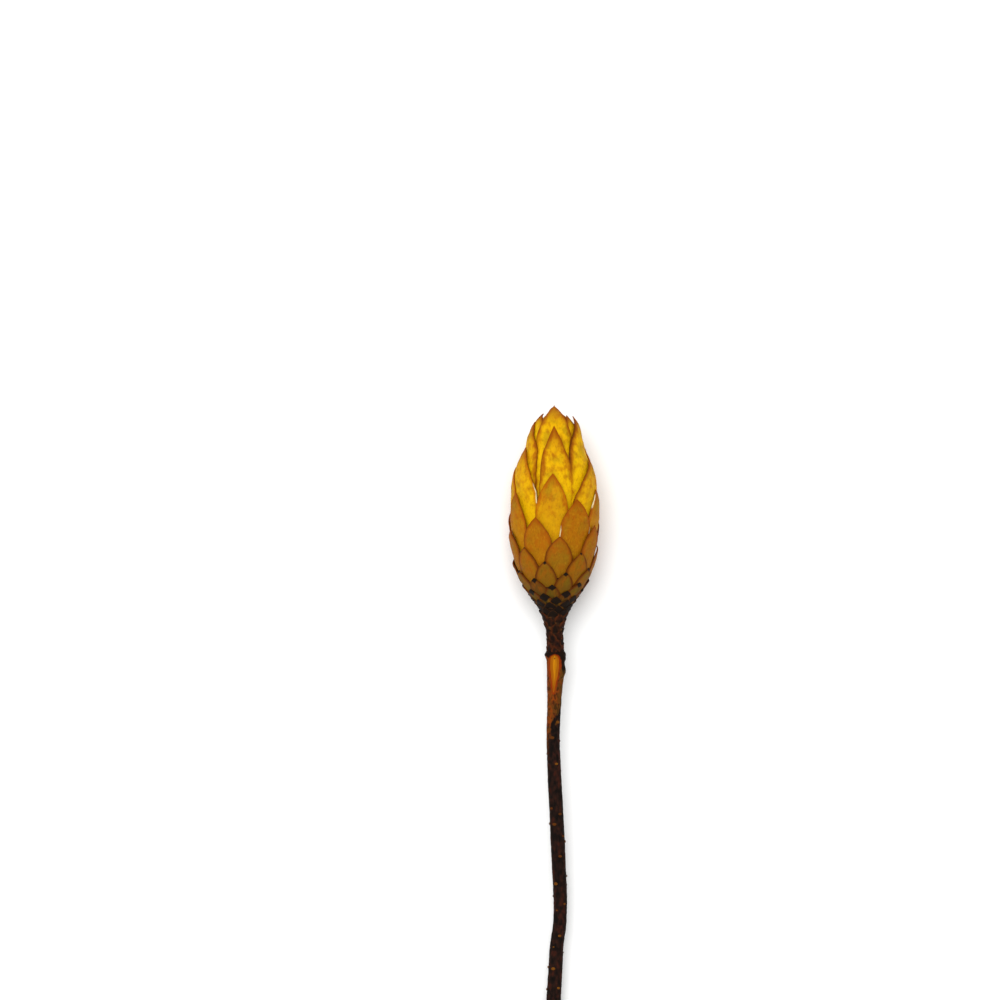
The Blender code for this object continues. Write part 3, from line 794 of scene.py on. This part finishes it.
husk = layered_finish(
    "dark_woody_receptacle",
    (0.85, 0.1),
    (),
    {"patch": (1.5, 1.5, 2.5), "grain": (0.4, 0.4, 0.8)},
    {"lighter": ({"patch": 1.0}, 0.4, 0.65)},
    ({"grain": 1.0}, ((0.3, "#1d110a"), (0.7, "#2f1b0e"))),
    (("#5a3511", 0.6, "lighter"),),
    ({"patch": 1.0, "grain": 0.5}, 0.6, 0.3),
)
CORE_TOP, BLOOM_FOOT, NECK_TOP, INTO_STEM = 92.0, 1.15, 0.85, 1.0
bloom_core = core_object("bloom_core", BLOOM_FOOT, CORE_TOP, 2.4, husk)
neck_core = core_object("neck_core", NECK_FOOT - INTO_STEM, NECK_TOP, 1.2, husk)

# %% [markdown]
# ## The stem
#
# The stem is a tube along a path that wanders a little. Curve to Mesh sweeps a circle along such a path,
# and the path's own thickness makes it stouter at the collar and at the cut. The rest is pushed in or out
# on the tube: knobs at the collar, fine furrows in the bark, and the long hollow where a side shoot was
# torn away and left bare wood.

# %% Path and thickness of the stem
COLLAR_TOP, STEM_FOOT = -17.7, -251.0
# (height, distance to the right, distance to the back)
STEM_ROUTE = (
    (1.0, 0.0, 0.0), (-9.0, 0.3, 0.0), (-22.0, 0.6, 0.1), (-40.0, 0.0, 0.4), (-60.0, -0.7, 0.3),
    (-78.0, -0.1, -0.2), (-98.0, 0.9, -0.4), (-120.0, 1.9, 0.0), (-138.0, 2.6, 0.4), (-147.0, 2.4, 0.3),
    (-158.0, 0.9, -0.2), (-170.0, 0.2, -0.3), (-186.0, -0.7, 0.2), (-215.0, -1.4, 0.3),
    (-251.0, -2.4, 0.0),
)
# (height, radius)
STEM_RADIUS = (
    (-19.0, 4.4), (-24.0, 4.4), (-30.0, 4.2), (-35.0, 3.95), (-42.0, 3.55), (-62.0, 3.3), (-90.0, 3.5),
    (-120.0, 3.5), (-150.0, 3.3), (-170.0, 3.55), (-251.0, 3.85),
)
STEM_STEP = 0.5


def stem_path():
    """A chain of points every half millimetre down the stem, each with the stem's radius there."""
    count = round((COLLAR_TOP - STEM_FOOT) / STEM_STEP)
    heights = [COLLAR_TOP + (STEM_FOOT - COLLAR_TOP) * i / count for i in range(count + 1)]
    points = [(along(STEM_ROUTE, h, 1), along(STEM_ROUTE, h, 2), h) for h in heights]
    path = mesh_object("stem_path", points, [], [(i, i + 1) for i in range(count)])
    store(path, "girth", [along(STEM_RADIUS, h) for h in heights])
    return path


# %% Knobs, scar and cut
CUT_SLOPE, CUT_RISE = 0.75, 3.0  # how steep the cut is, and over what height the slant fades
# Knobs: height, bearing, millimetres out, half height in millimetres, half width in degrees
KNOBS = (
    (-20.6, -82.0, 0.9, 1.6, 26.0), (-22.2, 78.0, 0.6, 1.4, 24.0), (-28.2, 84.0, 0.9, 2.4, 30.0),
    (-20.2, 0.0, 0.35, 1.0, 70.0), (-21.0, 170.0, 0.5, 1.5, 50.0),
)
SCAR_TOP, SCAR_FOOT = -20.6, -39.0
SCAR_BEARING, SCAR_HALF_WIDTH, SCAR_DEPTH = -9.0, 2.3, 0.55
DOT_HEIGHT = -22.3  # of the pit at the top of the scar
# The scar's outline, a drop: (share of the way up, share of its full width)
SCAR_OUTLINE = (
    (0.0, 0.0), (0.1, 0.2), (0.32, 0.52), (0.55, 0.85), (0.76, 1.0), (0.9, 0.92), (0.97, 0.6), (1.0, 0.0),
)
SCAR_BANK = (-0.15, 0.6)  # from here to here inside its outline, the scar deepens
# Noise on the bark: (waves in a millimetre, the value that moves nothing)
FURROWS, ROUGHNESS, LUMPS = ((0.6, 0.6, 0.05), 0.6), (0.45, 0.75), (0.5, 0.42)
LUMPS_FROM, LUMPS_FULL = -25.0, -20.0  # heights between which the lumps grow
ROUND_FROM, ROUND_IN = -19.4, 0.8  # the top of the collar is drawn in, from that height up


def stem_tree():
    """The tree that sweeps the stem along its path and works its bark."""
    sizes = {"Sides": 1, "Furrow depth": 1.0, "Scar depth": 1.0, "Roughness": 1.0, "Lumps": 1.0}
    tree, put, given = fresh_tree("grow_stem", {**sizes, "Finish": None})
    path = put("GeometryNodeMeshToCurve", {"Mesh": given["Geometry"]})
    axis = put(POSITION)
    path = put(STORE, {"Geometry": path, "Name": "axis", "Value": axis}, data_type=XYZ)
    girth = put(STORED, {"Name": "girth"})
    axis = put(STORED, {"Name": "axis"}, data_type=XYZ)
    circle = put("GeometryNodeCurvePrimitiveCircle", {"Resolution": given["Sides"]})
    swept = {"Curve": path, "Profile Curve": circle, "Scale": girth, "Fill Caps": True}
    shape = put("GeometryNodeCurveToMesh", swept)

    # Where each point is on the stem: its direction from the axis, and its height
    spot = put(POSITION)
    off = put(VECTOR, (spot, axis), "SUBTRACT")
    level = put(VECTOR, (off, (1.0, 1.0, 0.0)), "MULTIPLY")
    outward = put(VECTOR, (level,), "NORMALIZE")
    height = put(SPLIT, (spot,)).outputs["Z"]
    place = put(VECTOR, (spot, (0.0, 0.0, 1.0), level), "MULTIPLY_ADD")

    # Knobs
    push = 0.0
    for knob_height, knob_bearing, out, reach, spread in KNOBS:
        towards = standing(1.0, knob_bearing, 0.0)
        near = put(VECTOR, (outward, towards), "DOT_PRODUCT")
        apart = put(MATH, (near,), "ARCCOSINE")
        apart = put(MATH, (apart, math.radians(spread)), "DIVIDE")
        over = put(MATH, (height, 1.0 / reach, -knob_height / reach), "MULTIPLY_ADD")
        over = put(MATH, (over, over), "MULTIPLY")
        far = put(MATH, (apart, apart, over), "MULTIPLY_ADD")
        far = put(MATH, (far, -1.0), "MULTIPLY")
        swell = put(MATH, (far,), "EXPONENT")
        push = put(MATH, (swell, out, push), "MULTIPLY_ADD")

    # The scar: how many millimetres inside its outline each point is
    turn = math.radians(SCAR_BEARING)
    aside = (math.cos(turn), math.sin(turn), 0.0)
    towards = standing(1.0, SCAR_BEARING, 0.0)
    beside = put(VECTOR, (level, aside), "DOT_PRODUCT")
    beside = put(MATH, (beside,), "ABSOLUTE")
    facing = put(VECTOR, (outward, towards), "DOT_PRODUCT")
    up = put(RANGE, (height, SCAR_FOOT, SCAR_TOP))
    drop = put("ShaderNodeFloatCurve", {"Value": up})
    shape_curve(drop, SCAR_OUTLINE)
    inside = put(MATH, (drop, SCAR_HALF_WIDTH), "MULTIPLY")
    inside = put(MATH, (inside, beside), "SUBTRACT")
    dot = put(JOIN, (beside, height))
    dot = put(VECTOR, (dot, (0.0, DOT_HEIGHT, 0.0)), "DISTANCE")
    behind = put(RANGE, (facing, 0.2, 0.4, 5.0, 0.0))  # the far side of the stem is out of it
    inside = put(MATH, (inside, behind), "SUBTRACT")
    middle = (SCAR_TOP + SCAR_FOOT) / 2
    past = put(MATH, (height, middle), "SUBTRACT")
    past = put(MATH, (past,), "ABSOLUTE")
    past = put(MATH, (past, (SCAR_TOP - SCAR_FOOT) / 2), "SUBTRACT")
    past = put(MATH, (past, 0.0), "MAXIMUM")
    inside = put(MATH, (inside, past), "SUBTRACT")
    hollow = put(RANGE, (inside, *SCAR_BANK), interpolation_type="SMOOTHSTEP")
    hollow = put(MATH, (hollow, given["Scar depth"]), "MULTIPLY")
    push = put(MATH, (push, hollow), "SUBTRACT")

    # Furrows: noise drawn out along the stem, in grooves about 1 mm wide and 12 mm long
    drawn = put(VECTOR, (place, FURROWS[0]), "MULTIPLY")
    furrow = put(NOISE, {"Vector": drawn, "Scale": 1.0, "Detail": 3.0})
    furrow = put(MATH, (furrow, FURROWS[1]), "SUBTRACT")
    push = put(MATH, (furrow, given["Furrow depth"], push), "MULTIPLY_ADD")
    rough = put(NOISE, {"Vector": place, "Scale": ROUGHNESS[0], "Detail": 3.0})
    rough = put(MATH, (rough, ROUGHNESS[1]), "SUBTRACT")
    push = put(MATH, (rough, given["Roughness"], push), "MULTIPLY_ADD")

    # The collar is lumpy with old bud scales, in lumps about 2 mm wide, and the scar is free of them
    lumps = put(NOISE, {"Vector": place, "Scale": LUMPS[0], "Detail": 2.0})
    lumps = put(MATH, (lumps, LUMPS[1]), "SUBTRACT")
    strong = put(RANGE, (height, LUMPS_FROM, LUMPS_FULL, 0.0, given["Lumps"]))
    lumps = put(MATH, (lumps, strong), "MULTIPLY")
    free = put(RANGE, (inside, -0.6, 0.0, 1.0, 0.0))
    push = put(MATH, (lumps, free, push), "MULTIPLY_ADD")
    ends = (height, ROUND_FROM, COLLAR_TOP, 0.0, -ROUND_IN)
    rounding = put(RANGE, ends, interpolation_type="SMOOTHSTEP")
    push = put(MATH, (push, rounding), "ADD")

    # The slanted cut at the foot
    side = put(SPLIT, (level,)).outputs["X"]
    slope = put(RANGE, (height, STEM_FOOT, STEM_FOOT + CUT_RISE, CUT_SLOPE, 0.0))
    slant = put(MATH, (side, slope), "MULTIPLY")
    slant = put(JOIN, (0.0, 0.0, slant))
    scaled = put(VECTOR, {0: outward, "Scale": push}, "SCALE")
    moved = put(VECTOR, (scaled, slant), "ADD")

    right = put(SPLIT, (level,))
    front = put(MATH, (right.outputs["Y"], -1.0), "MULTIPLY")
    stored = {"scar": inside, "dot": dot, "height": height, "right": right, "front": front}
    for name, value in stored.items():
        shape = put(STORE, {"Geometry": shape, "Name": name, "Value": value})
    shape = put(STORE, {"Geometry": shape, "Name": "place", "Value": place}, data_type=XYZ)
    normal = put("GeometryNodeInputNormal")
    lid = put(SPLIT, (normal,)).outputs["Z"]
    lid = put(MATH, (lid, lid), "MULTIPLY")
    shape = put(STORE, {"Geometry": shape, "Name": "end", "Value": lid}, domain="FACE")
    shape = put(MOVE, {"Geometry": shape, "Offset": moved})
    finish_tree(tree, shape, given["Finish"])
    return tree


# %% [markdown]
# ## Finish of the stem: dry bark, torn wood
#
# Dry protea bark is thin, nearly black and a little red, with a dull skin. Where the side shoot was torn
# off, bare wood shows, the colour of honey, with a red-brown healing edge and orange streaks below it.
# The cut end shows pale wood inside a dark rind. Low gloss and streaks drawn along the stem give the eye
# bark.

# %% Bark finish
bark_clouds = {
    "streak": (0.8, 0.8, 8.0), "fleck": (0.9, 0.9, 1.3), "fibre": (0.25, 0.25, 5.0),
    "mottle": (1.2, 1.2, 1.8),
}
bark_runs = {
    "collar": ({"height": 1.0, "right": 0.9, "fleck": 3.0}, -23.9, -22.7),
    "torn": ({"scar": 1.0, "streak": 0.6}, 0.25, 0.45),
    "rim": ({"scar": 1.0, "mottle": 3.0}, 0.4, 1.4),
    "facing": ({"front": 1.0}, -1.5, 0.8),
    "flayed": ({"height": 1.0, "right": -2.8, "mottle": 30.0}, -41.0, -35.0),
    "olive_side": ({"right": 0.5, "mottle": 8.0, "fleck": 5.0}, 7.6, 8.8),
    "rust_side": ({"right": -0.35, "mottle": -8.0, "fleck": 6.0}, -1.5, 0.3),
    "spots": ({"fleck": 1.0, "mottle": 0.6}, 0.8, 0.92),
    "red": ({"mottle": 1.0, "streak": 0.5}, 0.78, 0.98),
    "black": ({"mottle": -1.0, "fleck": -0.5}, -0.75, -0.6),
    "heart": ({"scar": 1.0, "streak": 2.0}, 1.8, 2.8),
    "fibres": ({"fibre": 1.0}, 0.42, 0.62),
    "pit": ({"dot": 1.0, "fleck": 0.4}, 0.5, 0.8, 1.0, 0.0),
    "cut": ({"end": 1.0}, 0.4, 0.5),
}
bark = layered_finish(
    "dry_thin_bark",
    (0.75, 0.04),
    ("scar", "dot", "height", "right", "front", "end"),
    bark_clouds,
    bark_runs,
    ({"fleck": 0.5, "mottle": 0.5}, ((0.32, "#110b09"), (0.5, "#1e120e"), (0.66, "#2f1911"))),
    (
        ("#42190f", 0.45, "red"),
        ("#0e0b09", 0.6, "black"),
        ("#5e350f", 0.9, "flayed", "facing"),
        ("#8a3a08", 0.6, "flayed", "facing", "rust_side"),
        ("#6e520c", 0.55, "flayed", "facing", "olive_side"),
        ("#26140a", 0.75, "flayed", "spots"),
        ("#120b08", 0.95, "collar"),
        ("#8c3004", 0.8, "rim"),
        ("#9a5606", 1.0, "torn"),
        ("#c07c0a", 0.85, "heart"),
        ("#7c4004", 0.4, "torn", "fibres"),
        ("#3a1e0a", 0.8, "pit"),
        ("#a8834f", 1.0, "cut"),
    ),
    ({"streak": 0.6, "fleck": 0.6, "fibre": 0.3}, 0.6, 0.5),
)
stem = run_tree(
    "woody_stem",
    stem_path(),
    stem_tree(),
    {
        "Sides": 64, "Furrow depth": 0.3, "Scar depth": SCAR_DEPTH, "Roughness": 0.5, "Lumps": 2.2,
        "Finish": bark,
    },
)

# %% [markdown]
# ## Lenticels
#
# Small corky pores dot the bark, pale and raised a little, wider than they are tall. A handful of them,
# at the front, sit where the real stem has them, and chance spreads the rest. Each is only a squashed
# ball, so the tree turns one ball to face outwards at each point and gives it its size.

# %% Where the lenticels are
# Facing the viewer: (height, distance to the right of the flower's axis, size)
SEEN_LENTICELS = (
    (-52.6, 1.5, 1.1), (-60.0, -1.2, 1.1), (-67.5, -3.4, 0.7), (-72.4, 0.8, 0.9), (-93.5, -1.6, 0.9),
    (-96.1, 2.5, 0.95), (-101.0, -0.2, 1.1), (-106.6, 4.0, 0.7), (-116.1, 2.5, 0.95),
    (-129.1, 0.4, 1.1), (-138.6, 4.6, 0.75), (-141.6, 0.9, 0.5), (-153.6, 2.2, 0.9),
    (-158.8, -0.7, 0.5), (-169.0, -0.9, 1.1), (-178.1, 1.6, 0.85),
)
LENTICEL_SEED, LENTICEL_COUNT = 11, 46
# The others: how far apart in height, and the ranges of their heights, bearings and sizes
LENTICEL_GAP, LENTICEL_HEIGHTS = 3.5, (STEM_FOOT + 8, -50.0)
LENTICEL_BEARINGS, LENTICEL_SIZES = (75.0, 285.0), (0.5, 1.0)
SIDE_LIMIT = 0.95  # no seen one is nearer to the stem's outline, as a share of its radius


def on_stem(height, turn):
    """Where that direction from the axis meets the bark, and the way out from there."""
    outward = Vector((math.sin(turn), -math.cos(turn), 0.0))
    axis = Vector((along(STEM_ROUTE, height, 1), along(STEM_ROUTE, height, 2), height))
    return axis + along(STEM_RADIUS, height) * outward, outward


def lenticel_points():
    """One point on the bark for each lenticel, with its way out and its size."""
    chance = random.Random(LENTICEL_SEED)
    spots = []
    for height, right, size in SEEN_LENTICELS:
        share = (right - along(STEM_ROUTE, height, 1)) / along(STEM_RADIUS, height)
        spots.append((height, math.asin(max(-SIDE_LIMIT, min(SIDE_LIMIT, share))), size))
    while len(spots) < LENTICEL_COUNT:
        height = chance.uniform(*LENTICEL_HEIGHTS)
        turn = math.radians(chance.uniform(*LENTICEL_BEARINGS))
        if all(abs(height - other[0]) > LENTICEL_GAP for other in spots[len(SEEN_LENTICELS) :]):
            spots.append((height, turn, chance.uniform(*LENTICEL_SIZES)))
    places = [on_stem(height, turn) for height, turn, size in spots]
    cloud = mesh_object("lenticel_points", [place for place, outward in places], [])
    store(cloud, "outward", [c for place, outward in places for c in outward], XYZ)
    store(cloud, "size", [size for height, turn, size in spots])
    return cloud


# %% Tree and finish for the lenticels
def lenticel_tree():
    """The tree that sets a squashed ball on each point."""
    sizes = {"Width": 1.0, "Height": 1.0, "Proud": 1.0, "Finish": None}
    tree, put, given = fresh_tree("dot_lenticels", sizes)
    ball = put("GeometryNodeMeshIcoSphere", {"Radius": 0.5, "Subdivisions": 3})
    flat = put(JOIN, (given["Width"], given["Height"], given["Proud"]))
    pore = put("GeometryNodeTransform", {"Geometry": ball, "Scale": flat})
    outward = put(STORED, {"Name": "outward"}, data_type=XYZ)
    facing = put("FunctionNodeAlignRotationToVector", {"Vector": outward}, axis="Z")
    upward = {"Rotation": facing, "Vector": (0.0, 0.0, 1.0)}
    level = put("FunctionNodeAlignRotationToVector", upward, axis="Y", pivot_axis="Z")
    size = put(STORED, {"Name": "size"})
    dots = {"Points": given["Geometry"], "Instance": pore, "Rotation": level, "Scale": size}
    placed = put("GeometryNodeInstanceOnPoints", dots)
    shape = put("GeometryNodeRealizeInstances", {"Geometry": placed})
    place = {"Geometry": shape, "Name": "place", "Value": put(POSITION)}
    shape = put(STORE, place, data_type=XYZ)
    finish_tree(tree, shape, given["Finish"])
    return tree


cork = layered_finish(
    "dry_corky_lenticel",
    (0.8, 0.05),
    (),
    {"grain": (0.3, 0.3, 0.3), "patch": (12.0, 12.0, 6.0)},
    {"dark": ({"grain": 1.0}, 0.4, 0.62)},
    ({"patch": 1.0}, ((0.35, "#48240c"), (0.65, "#7a4a10"))),
    (("#4a220a", 0.5, "dark"),),
    ({"grain": 1.0}, 0.5, 0.2),
)
lenticels = run_tree(
    "lenticels",
    lenticel_points(),
    lenticel_tree(),
    {"Width": 1.9, "Height": 1.3, "Proud": 0.7, "Finish": cork},
)

# %% [markdown]
# ## Hand over the pieces
#
# Each piece rides on the model's one body, and stands for the solid that it covers.

# %% Ride and replace
for piece, node, slot in (
    (bloom, "bloom", "golden_bract"),
    (bloom_core, "bloom", "golden_bract"),
    (neck, "neck", "dark_scale"),
    (neck_core, "neck", "dark_scale"),
    (stem, "stem", "brown_bark"),
    (lenticels, "stem", "brown_bark"),
):
    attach(piece, "root")
    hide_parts(node)
